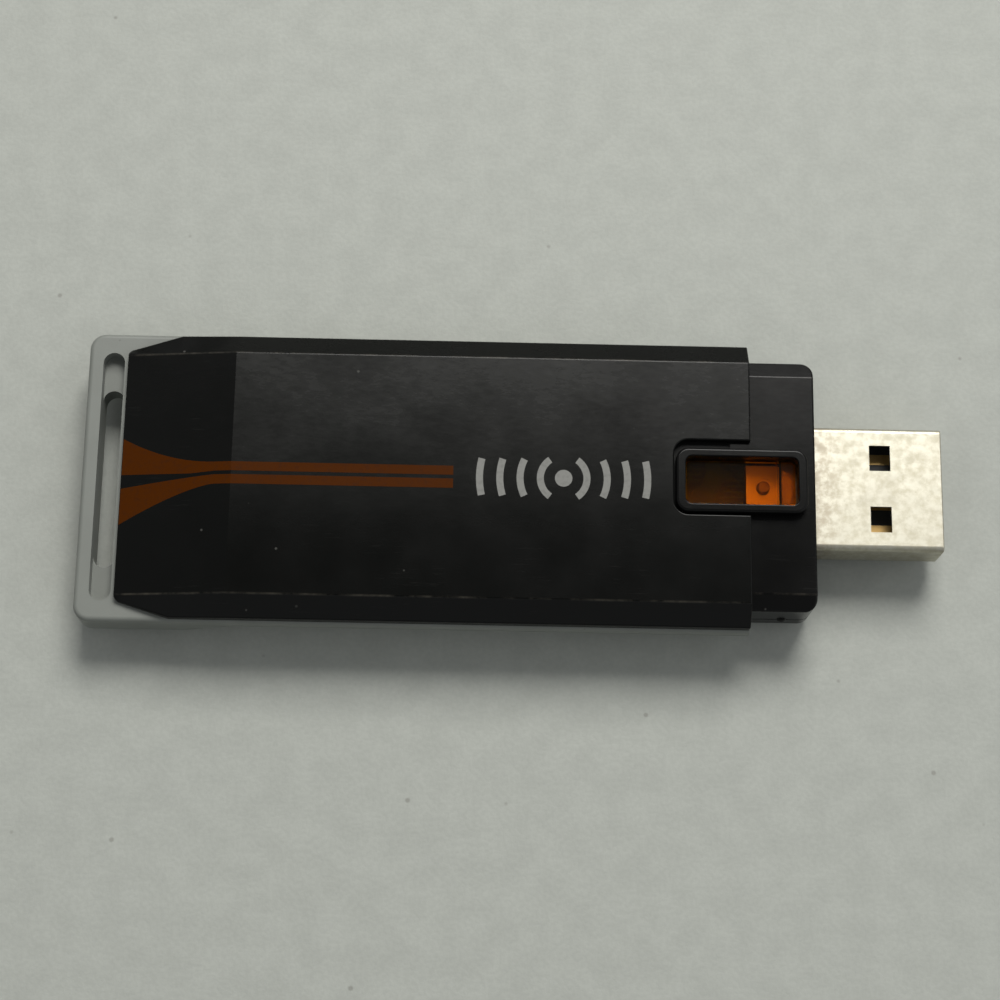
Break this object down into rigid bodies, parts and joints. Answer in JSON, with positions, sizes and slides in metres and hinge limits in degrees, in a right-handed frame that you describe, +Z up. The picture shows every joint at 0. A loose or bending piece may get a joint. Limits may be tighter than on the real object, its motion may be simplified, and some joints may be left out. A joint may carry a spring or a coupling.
{
  "type": "usb wifi adapter",
  "caption": "Flat wireless network stick with a plug, a cap seat, an amber push button in a raised guard and a lanyard slot.",
  "frame": {"origin": "middle of the footprint, on the surface that the stick rests on", "axes": "+X points out of the plug, +Y across the stick, +Z up out of the top cover"},
  "size_m": [0.0816, 0.0282, 0.0083],
  "materials": {
    "black_plastic": "satin black moulded plastic with a fine texture and printed amber stripes",
    "grey_plastic": "satin light grey moulded plastic",
    "housing_plastic": "satin black moulded plastic",
    "label_film": "blank silver-grey label film",
    "amber_lens": "clear amber moulded lens",
    "switch_plastic": "dark moulded switch plastic",
    "stamped_steel": "stamped spring steel",
    "plug_metal": "nickel-plated plug shell, warm silver",
    "insulator_plastic": "black moulded insulator",
    "gold_contact": "gold-plated contact strips",
    "board_laminate": "green solder-masked fibreglass",
    "etched_copper": "etched copper under clear mask",
    "chip_body": "black moulded chip body",
    "shield_metal": "tinned steel",
    "ferrite": "dark ferrite",
    "led_body": "small yellow-white lamp body",
    "capacitor_ceramic": "brown ceramic with tinned ends"
  },
  "bodies": {
    "body": {"top_cover": "black_plastic", "bottom_tray": "grey_plastic", "underside_label": "label_film", "front_housing_upper": "housing_plastic", "front_housing_lower": "housing_plastic", "switch_base": "switch_plastic", "switch_cover": "stamped_steel", "switch_dome": "stamped_steel", "usb_shell": "plug_metal", "usb_insulator": "insulator_plastic", "usb_contacts": "gold_contact", "circuit_board": "board_laminate", "antenna_far": "etched_copper", "antenna_near": "etched_copper", "wifi_chip": "chip_body", "shield_frame": "shield_metal", "shield_lid": "shield_metal", "memory_chip": "chip_body", "clock_crystal": "shield_metal", "voltage_regulator": "chip_body", "power_coil": "ferrite", "data_line_choke": "ferrite", "surge_protector": "chip_body", "radio_amplifiers": "chip_body", "status_led": "led_body", "capacitors": "capacitor_ceramic", "resistors": "chip_body"},
    "button": {"button_lens": "amber_lens"},
    "plunger": {"switch_plunger": "switch_plastic"}
  },
  "joints": [
    {"name": "button_press", "type": "slide", "parent": "body", "child": "button", "axis": [0, 0, -1], "range_m": [0, 0.00025], "stiffness_N_per_m": 4000},
    {"name": "plunger_press", "type": "slide", "parent": "body", "child": "plunger", "axis": [0, 0, -1], "range_m": [0, 0.00025], "deforming": ["switch_dome"]}
  ],
  "couplings": [
    {"joint": "plunger_press", "follows": "button_press", "ratio": 1}
  ]
}
